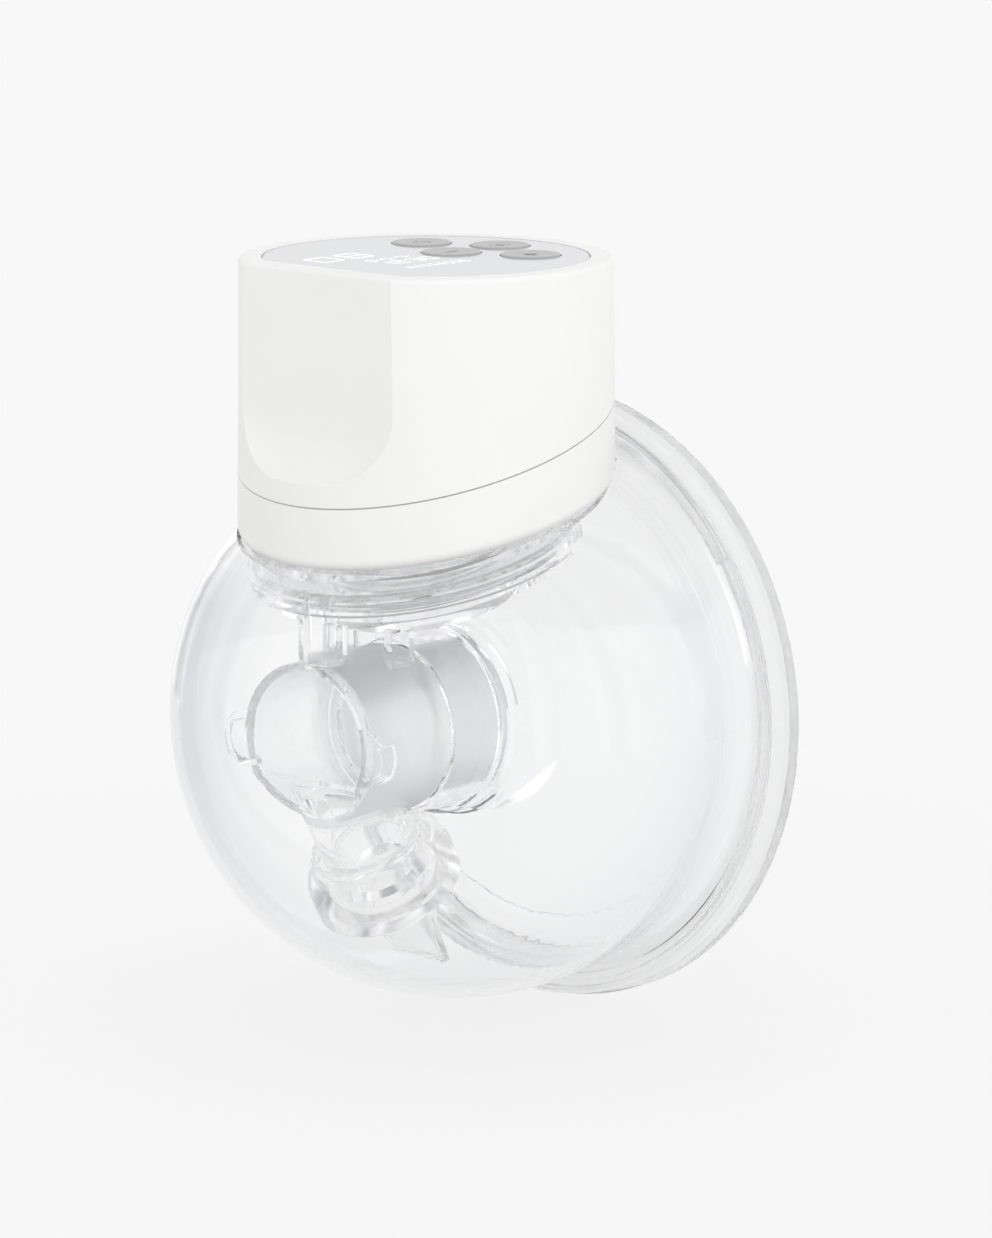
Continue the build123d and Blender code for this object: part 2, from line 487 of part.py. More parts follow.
def make_display_frame():
    """Light box of the number display, with a cell for each figure."""
    low = BOARD_Z + BOARD_THICKNESS
    half, front, back = DISPLAY_WIDTH / 2, DISPLAY_Y - DISPLAY_DEPTH / 2, DISPLAY_Y + DISPLAY_DEPTH / 2
    frame = block((-half, front, low), (half, back, DISPLAY_TOP_Z))
    cell = (DISPLAY_WIDTH - 4.0) / 3
    for i in range(3):
        x = -half + 1.0 + i * (cell + 1.0)
        frame -= block((x, front + 1.0, low + 0.8), (x + cell, back - 1.0, DISPLAY_TOP_Z + 1))
    return frame


def make_display_leds():
    low = BOARD_Z + BOARD_THICKNESS + 0.81
    cell = (DISPLAY_WIDTH - 4.0) / 3
    leds = []
    for i in range(3):
        x = -DISPLAY_WIDTH / 2 + 1.0 + i * (cell + 1.0) + cell / 2
        for y in (DISPLAY_Y - 6.0, DISPLAY_Y, DISPLAY_Y + 6.0):
            leds.append(block((x - 0.8, y - 0.4, low), (x + 0.8, y + 0.4, low + 0.6)))
    return leds


def make_usb_socket():
    """Charging inlet: an oval metal shell with a tongue, its mouth on the -X side."""
    mouth_x = -(DRUM_TOP_RADIUS - USB_RECESS)
    plane = along_x(DRUM_Y, BOARD_Z - USB_HEIGHT / 2 - 0.02).offset(mouth_x)
    shell = extrude(plane * SlotOverall(USB_WIDTH, USB_HEIGHT), USB_LENGTH)
    shell -= extrude(plane * SlotOverall(USB_WIDTH - 0.6, USB_HEIGHT - 0.6), USB_LENGTH - 0.8)
    return shell + extrude(plane.offset(1.0) * Rectangle(6.7, 0.7), USB_LENGTH - 1.4)


def make_inner_frame():
    """Carrier between the air pump and the battery, with posts for the board and fences for the battery."""
    margin = DRUM_TOP_RADIUS - FRAME_RADIUS
    low, high = FRAME_PLATE_Z, FRAME_PLATE_Z + FRAME_PLATE
    frame = top_outline(margin, low, high)
    for x, y in POSTS:
        frame += disc(along_z(x, y), POST_RADIUS, low, BOARD_Z)
        frame -= disc(along_z(x, y), SCREW_SHANK + 0.02, BOARD_Z - 6, BOARD_Z + 1)
    fence_x, fence_top = BATTERY_SIZE[0] / 2 + 0.9, high + 0.6 * BATTERY_SIZE[2]
    for x in (-fence_x, fence_x):
        frame += block((x - 0.6, DRUM_Y - 8, low), (x + 0.6, DRUM_Y + 8, fence_top))
    return frame


def make_battery_cell():
    length, width, height = BATTERY_SIZE
    low = FRAME_PLATE_Z + FRAME_PLATE + FOAM_THICKNESS
    cell = block((-length / 2, DRUM_Y - width / 2, low), (length / 2, DRUM_Y + width / 2, low + height))
    return fillet(cell.edges().filter_by(Axis.X), 2.0)


def make_battery_foam():
    half_length, half_width = BATTERY_SIZE[0] / 2 - 2, BATTERY_SIZE[1] / 2 - 3
    low = FRAME_PLATE_Z + FRAME_PLATE
    high = low + FOAM_THICKNESS
    return block((-half_length, DRUM_Y - half_width, low), (half_length, DRUM_Y + half_width, high))


def make_board_screws():
    top = BOARD_Z + BOARD_THICKNESS
    screws = []
    for x, y in POSTS:
        axis = along_z(x, y)
        screws.append(disc(axis, SCREW_SHANK, top - 6.5, top) + disc(axis, 1.7, top, top + 0.9))
    return screws


def make_housing_screws():
    screws = []
    for x, y in SCREW_SPOTS:
        axis = along_z(x, y)
        seat = screw_seat(y)
        tip = SEAM_Z + tan(radians(SEAM_TILT)) * (y - SEAM_Y) + SCREW_REACH
        head = disc(axis, SCREW_HEAD, seat - SCREW_HEAD_HEIGHT, seat)
        screws.append(head + disc(axis, SCREW_SHANK, seat, tip))
    return screws


# ---------------------------------------------------------------- air pump

def pump_slab(low, high, side=PUMP_SIDE, bore=0.0):
    """A rounded square slice of the air pump between two stations on its axis."""
    plane = along_x(PUMP_Y, PUMP_Z).offset(low)
    slab = extrude(plane * RectangleRounded(side, side, PUMP_CORNER), high - low)
    if bore:
        slab -= disc(along_x(PUMP_Y, PUMP_Z), bore, low - 1, high + 1)
    return slab


def pump_ring_spots(radius):
    return [(PUMP_Y + radius * cos(radians(a)), PUMP_Z + radius * sin(radians(a))) for a in (90, 210, 330)]


def pump_screw_spots():
    reach = PUMP_SIDE / 2 - 2.4
    return [(PUMP_Y + sy * reach, PUMP_Z + sz * reach) for sy, sz in ((-1, -1), (-1, 1), (1, -1), (1, 1))]


def make_motor_can():
    axis = along_x(PUMP_Y, PUMP_Z)
    can = disc(axis, MOTOR_RADIUS, MOTOR_BACK_X + MOTOR_CAP, MOTOR_FRONT_X)
    can -= disc(axis, MOTOR_RADIUS - MOTOR_WALL, MOTOR_BACK_X, MOTOR_FRONT_X - 1.0)
    return can - disc(axis, MOTOR_HUB_RADIUS, MOTOR_FRONT_X - 3, MOTOR_FRONT_X + 1)


def make_motor_end_cap():
    """Rear cap of the motor with its two flat terminals."""
    axis = along_x(PUMP_Y, PUMP_Z)
    cap = disc(axis, MOTOR_RADIUS, MOTOR_BACK_X, MOTOR_BACK_X + MOTOR_CAP)
    for y in (PUMP_Y - 4.5, PUMP_Y + 4.5):
        cap += block((MOTOR_BACK_X - 2.4, y - 1, PUMP_Z + 3), (MOTOR_BACK_X, y + 1, PUMP_Z + 3.5))
    return cap - disc(axis, MOTOR_HUB_RADIUS, MOTOR_BACK_X - 1, MOTOR_BACK_X + 3)


def make_motor_magnets():
    axis = along_x(PUMP_Y, PUMP_Z)
    outer = MOTOR_RADIUS - MOTOR_WALL - 0.02
    ring = disc(axis, outer, MOTOR_BACK_X + 5, MOTOR_FRONT_X - 3, bore=MAGNET_BORE)
    gap = block((-BIG, PUMP_Y - BIG, PUMP_Z - MAGNET_GAP / 2), (BIG, PUMP_Y + BIG, PUMP_Z + MAGNET_GAP / 2))
    return (ring - gap).solids()


def make_motor_bushes():
    axis = along_x(PUMP_Y, PUMP_Z)
    outer, bore = MOTOR_HUB_RADIUS - 0.02, SHAFT_RADIUS + 0.03
    front = disc(axis, outer, MOTOR_FRONT_X - 1.0, MOTOR_FRONT_X + 0.8, bore=bore)
    back = disc(axis, outer, MOTOR_BACK_X, MOTOR_BACK_X + MOTOR_CAP, bore=bore)
    return [front, back]


def make_motor_shaft():
    return disc(along_x(PUMP_Y, PUMP_Z), SHAFT_RADIUS, MOTOR_BACK_X - 0.8, 3.4)


def make_motor_armature():
    """Three wound poles on the shaft, with the commutator behind them."""
    axis = along_x(PUMP_Y, PUMP_Z)
    core = disc(axis, 7.0, -20.0, -8.0) + disc(axis, 2.4, -23.4, -20.0)
    for angle in (30, 150, 270):
        slot = Pos(-14, 0, 0) * Box(20, 1.6, 3.4)
        core -= Pos(0, PUMP_Y, PUMP_Z) * Rot(X=angle) * Pos(0, 0, 6.2) * slot
    return core - disc(axis, SHAFT_RADIUS, -30.0, 0.0)


def make_crank():
    axis = along_x(PUMP_Y, PUMP_Z)
    crank = disc(axis, 4.6, -0.6, 3.4) - disc(axis, SHAFT_RADIUS, -1.0, 3.4)
    crank += disc(axis, 4.6, 3.4, 4.2)
    return crank + disc(along_x(PUMP_Y, PUMP_Z + CRANK_OFFSET), CRANK_PIN_RADIUS, 4.2, 6.8)


def make_pump_base():
    base = pump_slab(MOTOR_FRONT_X + 0.1, 9.2) - disc(along_x(PUMP_Y, PUMP_Z), 10.4, -1.4, 10.0)
    base -= disc(along_x(PUMP_Y, PUMP_Z), 2.6, -5.0, 0.0)
    for y, z in pump_screw_spots():
        base -= disc(along_x(y, z), 0.95, 2.0, 10.0)
    return base


def make_wobble_plate():
    axis = along_x(PUMP_Y, PUMP_Z)
    plate = disc(axis, 4.8, 5.2, 6.8)
    for y, z in pump_ring_spots(CUP_CIRCLE):
        plate += disc(along_x(y, z), 2.6, 5.2, 6.8)
    return plate - disc(axis, WOBBLE_HOLE, 4.0, 8.0)


def make_pump_diaphragms():
    """One silicone moulding: a sheet with three cups, each with a stem on the wobble plate."""
    sheet = pump_slab(9.2, 10.2)
    for y, z in pump_ring_spots(CUP_CIRCLE):
        axis = along_x(y, z)
        sheet += disc(axis, CUP_RADIUS, 7.6, 9.2) + disc(axis, 1.2, 6.82, 7.6)
        sheet -= disc(axis, CUP_RADIUS - 0.7, 8.3, 11.0)
    for y, z in pump_screw_spots():
        sheet -= disc(along_x(y, z), 0.95, 8.0, 12.0)
    return sheet


def make_valve_plate():
    plate = pump_slab(10.2, 13.4)
    for y, z in pump_ring_spots(CUP_CIRCLE):
        plate -= disc(along_x(y, z), 0.8, 10.0, 14.0)
    for y, z in pump_screw_spots():
        plate -= disc(along_x(y, z), 0.95, 10.0, 14.0)
    return plate


def make_valve_flap():
    axis = along_x(PUMP_Y, PUMP_Z)
    return disc(axis, 8.4, 13.42, 14.0) + disc(axis, 1.5, 13.42, 15.4)


def make_pump_cover():
    """Outer cap of the pump with its outlet barb."""
    axis = along_x(PUMP_Y, PUMP_Z)
    cover = pump_slab(13.4, 18.4) - disc(axis, 8.8, 13.0, 16.6)
    cover += disc(axis, BARB_RADIUS, 18.4, 23.6)
    cover -= disc(axis, BARB_BORE, 16.0, 25.0)
    for y, z in pump_screw_spots():
        cover -= disc(along_x(y, z), 0.95, 13.0, 20.0)
    return cover


def make_pump_screws():
    return [disc(along_x(y, z), 0.9, 3.0, 18.4) + disc(along_x(y, z), 1.7, 18.4, 19.6)
            for y, z in pump_screw_spots()]


def make_motor_mounts():
    axis = along_x(PUMP_Y, PUMP_Z)
    outer, half = MOTOR_RADIUS + MOUNT_WALL, MOUNT_WIDTH / 2
    return [disc(axis, outer, x - half, x + half, bore=MOTOR_RADIUS + 0.02) for x in MOUNT_X]


# ---------------------------------------------------------------- release valve and hoses

def make_release_yoke():
    """Steel frame of the release valve, open at both sides."""
    y, z = RELEASE_Y, PUMP_Z
    yoke = block((-18.0, y - 5.5, z - 5.5), (2.0, y + 5.5, z + 5.5))
    yoke -= block((-16.8, y - 5.6, z - 4.5), (0.8, y + 5.6, z + 4.5))
    return yoke - disc(along_x(y, z), 2.2, -20.0, 4.0)


def make_release_coil():
    axis = along_x(RELEASE_Y, PUMP_Z)
    coil = disc(axis, 4.4, -16.7, 0.7) - disc(axis, 4.41, -15.7, -0.3, bore=4.0)
    return coil - disc(axis, 2.2, -20.0, 4.0)


def make_release_plunger():
    axis = along_x(RELEASE_Y, PUMP_Z)
    return disc(axis, 2.0, -21.5, -2.6) + disc(axis, 2.9, -22.1, -21.5)


def make_release_spring():
    """Return spring on the plunger, between its head and the yoke."""
    turns, length, coil_radius, wire = 3, 2.8, 2.5, 0.16
    helix = Helix(pitch=length / turns, height=length, radius=coil_radius)
    section = Plane(origin=helix @ 0, z_dir=helix % 0) * Circle(wire)
    spring = sweep(section, path=helix, is_frenet=True)
    return along_x(RELEASE_Y, PUMP_Z).offset(-21.2) * spring


def make_release_seat():
    """Plastic end of the release valve, with its seat and barb."""
    axis = along_x(RELEASE_Y, PUMP_Z)
    seat = disc(axis, 2.18, -1.4, 2.0) + disc(axis, 3.2, 2.0, 3.6) + disc(axis, BARB_RADIUS, 3.6, 6.6)
    return seat - disc(axis, BARB_BORE, -2.0, 8.0)


def make_air_tee():
    y, z = RELEASE_Y, PUMP_Z
    x_axis, z_axis = along_x(y, z), along_z(TEE_X, y)
    tee = disc(x_axis, BARB_RADIUS, TEE_X - 4.4, TEE_X + 6.0) + disc(z_axis, BARB_RADIUS, z - 4.8, z)
    tee += Pos(TEE_X, y, z) * Sphere(1.9)
    return tee - disc(x_axis, BARB_BORE, TEE_X - 6, TEE_X + 8) - disc(z_axis, BARB_BORE, z - 6, z)


def hose(path):
    start = Plane(origin=path @ 0, z_dir=path % 0)
    return sweep(start * (Circle(HOSE_RADIUS) - Circle(HOSE_BORE + 0.02)), path=path)


def make_air_hoses():
    z = PUMP_Z
    corner = HOSE_CORNER_X
    loop = FilletPolyline((19.8, PUMP_Y, z), (corner, PUMP_Y, z), (corner, RELEASE_Y, z),
                          (TEE_X + 2.6, RELEASE_Y, z), radius=HOSE_BEND)
    to_valve = Line((TEE_X - 2.2, RELEASE_Y, z), (4.0, RELEASE_Y, z))
    to_neck = Line((TEE_X, RELEASE_Y, z - 2.6), (TEE_X, RELEASE_Y, 49.6))
    return [hose(loop), hose(to_valve), hose(to_neck)]


# ---------------------------------------------------------------- all sub-parts

def all_parts():
    parts = {
        "milk_collector": make_milk_collector(),
        "linker": make_linker(),
        "neck_seal": make_neck_seal(),
        "suction_diaphragm": make_suction_diaphragm(),
        "duckbill_valve": make_duckbill_valve(),
        "breast_shield": make_breast_shield(),
        "upper_housing": make_upper_housing(),
        "lower_housing": make_lower_housing(),
        "housing_seal": make_housing_seal(),
        "display_lens": make_display_lens(),
        "keypad": make_keypad(),
        "tact_switches": make_tact_switches(),
        "control_board": make_control_board(),
        "board_screws": make_board_screws(),
        "display_frame": make_display_frame(),
        "display_leds": make_display_leds(),
        "usb_socket": make_usb_socket(),
        "inner_frame": make_inner_frame(),
        "battery_cell": make_battery_cell(),
        "battery_foam": make_battery_foam(),
        "housing_screws": make_housing_screws(),
        "motor_can": make_motor_can(),
        "motor_end_cap": make_motor_end_cap(),
        "motor_magnets": make_motor_magnets(),
        "motor_bushes": make_motor_bushes(),
        "motor_shaft": make_motor_shaft(),
        "motor_armature": make_motor_armature(),
        "motor_mounts": make_motor_mounts(),
        "crank": make_crank(),
        "pump_base": make_pump_base(),
        "wobble_plate": make_wobble_plate(),
        "pump_diaphragms": make_pump_diaphragms(),
        "valve_plate": make_valve_plate(),
        "valve_flap": make_valve_flap(),
        "pump_cover": make_pump_cover(),
        "pump_screws": make_pump_screws(),
        "release_yoke": make_release_yoke(),
        "release_coil": make_release_coil(),
        "release_plunger": make_release_plunger(),
        "release_spring": make_release_spring(),
        "release_seat": make_release_seat(),
        "air_tee": make_air_tee(),
        "air_hoses": make_air_hoses(),
    }
    for name, (x, y) in BUTTON_CENTRES.items():
        parts[name] = make_button(x, y)
    return parts


def write_parts():
    os.makedirs("parts", exist_ok=True)
    for name, shape in all_parts().items():
        solids = shape if isinstance(shape, (list, ShapeList)) else shape.solids()
        export_step(Compound(children=list(solids)), f"parts/{name}.step")


write_parts()
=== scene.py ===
import json
from math import cos, pi, radians, sin

import bmesh
import bpy
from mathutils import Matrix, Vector


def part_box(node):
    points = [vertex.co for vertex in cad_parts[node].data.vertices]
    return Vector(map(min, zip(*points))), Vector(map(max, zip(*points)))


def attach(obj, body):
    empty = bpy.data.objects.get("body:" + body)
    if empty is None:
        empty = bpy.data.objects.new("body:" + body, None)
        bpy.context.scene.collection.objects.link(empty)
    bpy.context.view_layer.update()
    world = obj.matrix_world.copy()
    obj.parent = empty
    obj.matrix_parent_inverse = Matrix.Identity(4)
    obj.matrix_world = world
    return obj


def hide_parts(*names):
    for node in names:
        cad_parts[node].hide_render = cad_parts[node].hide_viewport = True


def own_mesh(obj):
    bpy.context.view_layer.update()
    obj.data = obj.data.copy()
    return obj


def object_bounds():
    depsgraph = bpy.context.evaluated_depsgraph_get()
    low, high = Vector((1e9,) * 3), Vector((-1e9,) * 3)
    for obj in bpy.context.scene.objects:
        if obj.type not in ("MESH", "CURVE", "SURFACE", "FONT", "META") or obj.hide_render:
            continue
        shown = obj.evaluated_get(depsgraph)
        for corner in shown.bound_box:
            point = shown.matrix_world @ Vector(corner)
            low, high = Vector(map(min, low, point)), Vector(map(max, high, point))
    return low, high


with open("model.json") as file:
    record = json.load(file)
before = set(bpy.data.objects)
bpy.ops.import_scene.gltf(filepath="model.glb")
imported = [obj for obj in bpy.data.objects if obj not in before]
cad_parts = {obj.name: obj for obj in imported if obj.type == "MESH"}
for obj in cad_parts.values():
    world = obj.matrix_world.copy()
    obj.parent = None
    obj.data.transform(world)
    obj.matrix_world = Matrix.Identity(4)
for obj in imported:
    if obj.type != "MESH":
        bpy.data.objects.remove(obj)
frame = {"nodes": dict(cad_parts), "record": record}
CAD_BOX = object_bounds()
nodes = frame["nodes"]

# ---------------------------------------------------------------- node helpers


def new_material(name):
    mat = bpy.data.materials.new(name)
    mat.use_nodes = True
    tree = mat.node_tree
    tree.nodes.clear()
    out = tree.nodes.new("ShaderNodeOutputMaterial")
    bsdf = tree.nodes.new("ShaderNodeBsdfPrincipled")
    tree.links.new(bsdf.outputs["BSDF"], out.inputs["Surface"])
    return mat, tree, bsdf


def coordinates(tree):
    return tree.nodes.new("ShaderNodeTexCoord").outputs


def noise(tree, scale, detail=3.0, rough=0.5, distortion=0.0):
    tex = tree.nodes.new("ShaderNodeTexNoise")
    tex.inputs["Scale"].default_value = scale
    tex.inputs["Detail"].default_value = detail
    tex.inputs["Roughness"].default_value = rough
    tex.inputs["Distortion"].default_value = distortion
    tree.links.new(coordinates(tree)["Object"], tex.inputs["Vector"])
    return tex.outputs["Fac"]


def ramp(tree, source, low, high, low_at=0.3, high_at=0.7):
    """low where the source is low_at or less, high where it is high_at or more."""
    node = tree.nodes.new("ShaderNodeMapRange")
    node.inputs["From Min"].default_value = low_at
    node.inputs["From Max"].default_value = high_at
    node.inputs["To Min"].default_value = low
    node.inputs["To Max"].default_value = high
    tree.links.new(source, node.inputs["Value"])
    return node.outputs["Result"]


def mixed(tree, factor, a, b):
    """The colour from a, at factor 0, to b, at factor 1. Each is a colour or the socket of one."""
    mix = tree.nodes.new("ShaderNodeMix")
    mix.data_type = "RGBA"
    tree.links.new(factor, mix.inputs["Factor"])
    for side, name in ((a, "A"), (b, "B")):
        if isinstance(side, tuple):
            mix.inputs[name].default_value = (*side, 1)
        else:
            tree.links.new(side, mix.inputs[name])
    return mix.outputs["Result"]


def maths(tree, operation, *sources):
    """A maths node on the sources, each a float or the socket of one."""
    node = tree.nodes.new("ShaderNodeMath")
    node.operation = operation
    for i, source in enumerate(sources):
        if isinstance(source, float):
            node.inputs[i].default_value = source
        else:
            tree.links.new(source, node.inputs[i])
    return node.outputs[0]


def product(tree, a, b):
    return maths(tree, "MULTIPLY", a, b)


def vector_maths(tree, operation, vector, other=(0.0, 0.0, 0.0)):
    node = tree.nodes.new("ShaderNodeVectorMath")
    node.operation = operation
    node.inputs[1].default_value = other
    tree.links.new(vector, node.inputs[0])
    return node.outputs["Vector" if operation == "MULTIPLY" else "Value"]


def split(tree, vector):
    """The X, Y and Z of a vector."""
    node = tree.nodes.new("ShaderNodeSeparateXYZ")
    tree.links.new(vector, node.inputs[0])
    return node.outputs


def from_axis(tree, point):
    """The distance from the axis of the tunnel and the barrel, which is the Y axis."""
    return vector_maths(tree, "LENGTH", vector_maths(tree, "MULTIPLY", point, (1.0, 0.0, 1.0)))


def facing(tree, low_at, high_at):
    """0 where a surface faces the eye, 1 where it turns away and the path in its wall is long."""
    weight = tree.nodes.new("ShaderNodeLayerWeight")
    weight.inputs["Blend"].default_value = 0.5
    return ramp(tree, weight.outputs["Facing"], 0.0, 1.0, low_at, high_at)


def bump(tree, bsdf, source, strength, distance):
    node = tree.nodes.new("ShaderNodeBump")
    node.inputs["Strength"].default_value = strength
    node.inputs["Distance"].default_value = distance
    tree.links.new(source, node.inputs["Height"])
    tree.links.new(node.outputs["Normal"], bsdf.inputs["Normal"])


# ---------------------------------------------------------------- opaque finishes

CLOUD_SCALE = 55.0
GRAIN_BUMP = 0.00002
GRAIN_GLOSS = 0.88, 1.12  # the roughness at the ends of the grain, as shares of the finish's own
COAT_ROUGH, SHEEN_ROUGH = 0.06, 0.35
NECK_AXIS = (0.0, -0.2334, 0.9724)  # from the collector up the tilted neck to the pump unit
UNDERSIDE_AT = 0.0443, 0.0449  # along that axis, the fade from the painted light on the shell's bottom to its sides
# Painted light on the white shell's bottom: a paler colour that also glows faintly; no glow above
# it.
UNDERSIDE_PAINTED_LIGHT, UNLIT = (0.97, 0.97, 0.965), (0.0, 0.0, 0.0)


def moulded(name, dark, light, rough, grain=2600.0, depth=0.15, coat=0.0, metallic=0.0,
            sheen=0.0, lit=0.0, painted_underside=False):
    """An opaque finish: cloudy colour from dark to light, fine grain in the gloss and the bump.

    With painted_underside, what is below UNDERSIDE_AT gets painted light: a paler colour and,
    alone, a faint painted glow, which lightens the shaded clear neck under it.
    """
    mat, tree, bsdf = new_material(name)
    fine = noise(tree, grain, detail=2.0)
    body = mixed(tree, noise(tree, CLOUD_SCALE), dark, light)
    bsdf.inputs["Emission Color"].default_value = (*light, 1)
    if painted_underside:
        height = vector_maths(tree, "DOT_PRODUCT", coordinates(tree)["Object"], NECK_AXIS)
        # 1 below the neck plane, where the painted light goes
        under = ramp(tree, height, 1.0, 0.0, *UNDERSIDE_AT)
        body = mixed(tree, under, body, UNDERSIDE_PAINTED_LIGHT)
        tree.links.new(mixed(tree, under, UNLIT, UNDERSIDE_PAINTED_LIGHT), bsdf.inputs["Emission Color"])
    tree.links.new(body, bsdf.inputs["Base Color"])
    gloss = ramp(tree, fine, *(rough * share for share in GRAIN_GLOSS))
    tree.links.new(gloss, bsdf.inputs["Roughness"])
    bsdf.inputs["Metallic"].default_value = metallic
    bsdf.inputs["Coat Weight"].default_value = coat
    bsdf.inputs["Coat Roughness"].default_value = COAT_ROUGH
    bsdf.inputs["Emission Strength"].default_value = lit
    bsdf.inputs["Sheen Weight"].default_value = sheen
    bsdf.inputs["Sheen Roughness"].default_value = SHEEN_ROUGH
    bump(tree, bsdf, fine, depth, GRAIN_BUMP)
    return mat


# ---------------------------------------------------------------- clear finishes

CLEAR_BODY = (0.998, 0.999, 1.0)
CLEAR_CLOUD = 0.003  # how much darker a clear body gets along its waves
WAVE_BUMP = 0.0004
WAVE_GLOSS = 0.7, 1.3  # the roughness at the ends of the waves, as shares of the finish's own
EDGE_ON = 0.5, 0.9  # where a thin clear wall starts to look edge-on, and where it fully does
# Painted shade on the dome's grey edges, by place: along an axis, the share below, the share
# above, and the fade.
DOME_PAINTED_SHADE_FADES = (
    ("Z", 1.0, 0.04, 0.024, 0.032),
    ("Y", 1.0, 0.2, 0.014, 0.022),
    ("Z", 0.3, 1.0, -0.045, -0.005),
)
RIM_FADE = 0.0530, 0.0550  # from the axis, the fade from the funnel to its thick lip
RIM_CLEAR, RIM_ROUGH = 0.86, 0.22


def slow_waves(tree):
    return noise(tree, 14.0, detail=2.0, rough=0.4, distortion=0.6)


def clear(name, face, edge, edge_at, rough, ior, depth, weight=1.0, zone=None):
    """Clear plastic or silicone: refracting, greyer where it is seen edge-on, slow waves.

    In the zone "dome" only the dome's edges are grey, partly from the long path in the wall,
    partly as
    painted shade: the stacked walls of the neck and the rim stay clear. In the zone "rim" the
    thick lip at the back is milkier than the funnel.
    """
    mat, tree, bsdf = new_material(name)
    flow = slow_waves(tree)
    body = mixed(tree, flow, tuple(c - CLEAR_CLOUD for c in face), face)
    turned = facing(tree, *edge_at)
    point = coordinates(tree)["Object"]
    if zone == "dome":
        at = split(tree, point)
        # where on the dome the painted shade of the edges lies
        for axis, *fade in DOME_PAINTED_SHADE_FADES:
            turned = product(tree, turned, ramp(tree, at[axis], *fade))
    tree.links.new(mixed(tree, turned, body, edge), bsdf.inputs["Base Color"])
    if zone == "rim":
        lip = ramp(tree, from_axis(tree, point), 0.0, 1.0, *RIM_FADE)
        through = ramp(tree, lip, weight, RIM_CLEAR, 0.0, 1.0)
        tree.links.new(through, bsdf.inputs["Transmission Weight"])
        gloss = ramp(tree, lip, rough, RIM_ROUGH, 0.0, 1.0)
    else:
        bsdf.inputs["Transmission Weight"].default_value = weight
        gloss = ramp(tree, flow, *(rough * share for share in WAVE_GLOSS))
    tree.links.new(gloss, bsdf.inputs["Roughness"])
    bsdf.inputs["IOR"].default_value = ior
    bump(tree, bsdf, flow, depth, WAVE_BUMP)
    return mat


# The satin zone of the linker: fades along the distance from the barrel's axis and along Y.
BARREL_INSIDE, BARREL_OUTSIDE = (0.0147, 0.0151), (0.0170, 0.0178)
BARREL_FRONT = -0.0420, -0.0405
BARREL_BACK_FACE = 0.45  # how satin the wall is where a ray meets it from within
BARREL_WALL, BARREL_EDGE = ((0.995, 0.996, 0.998), CLEAR_BODY), (0.98, 0.983, 0.99)
BARREL_TINT = (0.990, 0.992, 0.995), CLEAR_BODY
BARREL_PAINTED_SHADE, BARREL_PAINTED_SHADE_AT = (0.80, 0.81, 0.835), (0.30, 0.85)  # painted shade, by how far the normal points up or down
LINKER_ROUGH, LINKER_IOR, LINKER_DEPTH = 0.02, 1.28, 0.012
BARREL_ROUGH, BARREL_CLEAR, BARREL_METAL = 0.33, 0.95, 0.35


def barrel_plastic():
    """The linker: clear at its front plate, ears, stem and dish, satin along the round barrel.

    The barrel is darker towards its top and bottom: painted shade, as on a satin tube in a tent.
    """
    mat, tree, bsdf = new_material("frosted_plastic")
    flow = slow_waves(tree)
    coord = coordinates(tree)
    far = from_axis(tree, coord["Object"])
    geometry = tree.nodes.new("ShaderNodeNewGeometry")
    satin = ramp(tree, far, 1.0, 0.0, *BARREL_OUTSIDE)
    for fade in (
        ramp(tree, split(tree, coord["Object"])["Y"], 0.0, 1.0, *BARREL_FRONT),
        ramp(tree, far, 0.0, 1.0, *BARREL_INSIDE),
        ramp(tree, geometry.outputs["Backfacing"], 1.0, BARREL_BACK_FACE, 0.0, 1.0),
    ):
        satin = product(tree, satin, fade)
    plain = mixed(tree, facing(tree, *EDGE_ON), mixed(tree, flow, *BARREL_WALL), BARREL_EDGE)
    # Painted shade: the barrel darker where its normal points up or down.
    steep = maths(tree, "ABSOLUTE", split(tree, coord["Normal"])["Z"])
    painted_shade = ramp(tree, steep, 0.0, 1.0, *BARREL_PAINTED_SHADE_AT)
    milky_with_painted_shade = mixed(tree, painted_shade, mixed(tree, flow, *BARREL_TINT), BARREL_PAINTED_SHADE)
    tree.links.new(mixed(tree, satin, plain, milky_with_painted_shade), bsdf.inputs["Base Color"])
    for name, low, high in (
        ("Roughness", LINKER_ROUGH, BARREL_ROUGH),
        ("Transmission Weight", 1.0, BARREL_CLEAR),
        ("Metallic", 0.0, BARREL_METAL),
    ):
        tree.links.new(ramp(tree, satin, low, high, 0.0, 1.0), bsdf.inputs[name])
    bsdf.inputs["IOR"].default_value = LINKER_IOR
    bump(tree, bsdf, flow, LINKER_DEPTH, WAVE_BUMP)
    return mat


# ---------------------------------------------------------------- finishes of the record's slots

# The dome's dark grey edge colour: partly the long path in its wall, partly painted shade for dark
# reflections at grazing angles.
CLEAR = clear("clear_plastic", CLEAR_BODY, (0.66, 0.675, 0.71), (0.28, 0.76), rough=0.02,
              ior=1.35, depth=0.012, zone="dome")
SILICONE = clear("clear_silicone", CLEAR_BODY, (0.975, 0.98, 0.985), EDGE_ON, rough=0.11,
                 ior=1.26, depth=0.02, weight=0.985)
SHIELD = clear("shield_silicone", (0.988, 0.991, 0.997), (0.955, 0.962, 0.975), EDGE_ON,
               rough=0.06, ior=1.26, depth=0.012, weight=0.985, zone="rim")
LINKER = barrel_plastic()
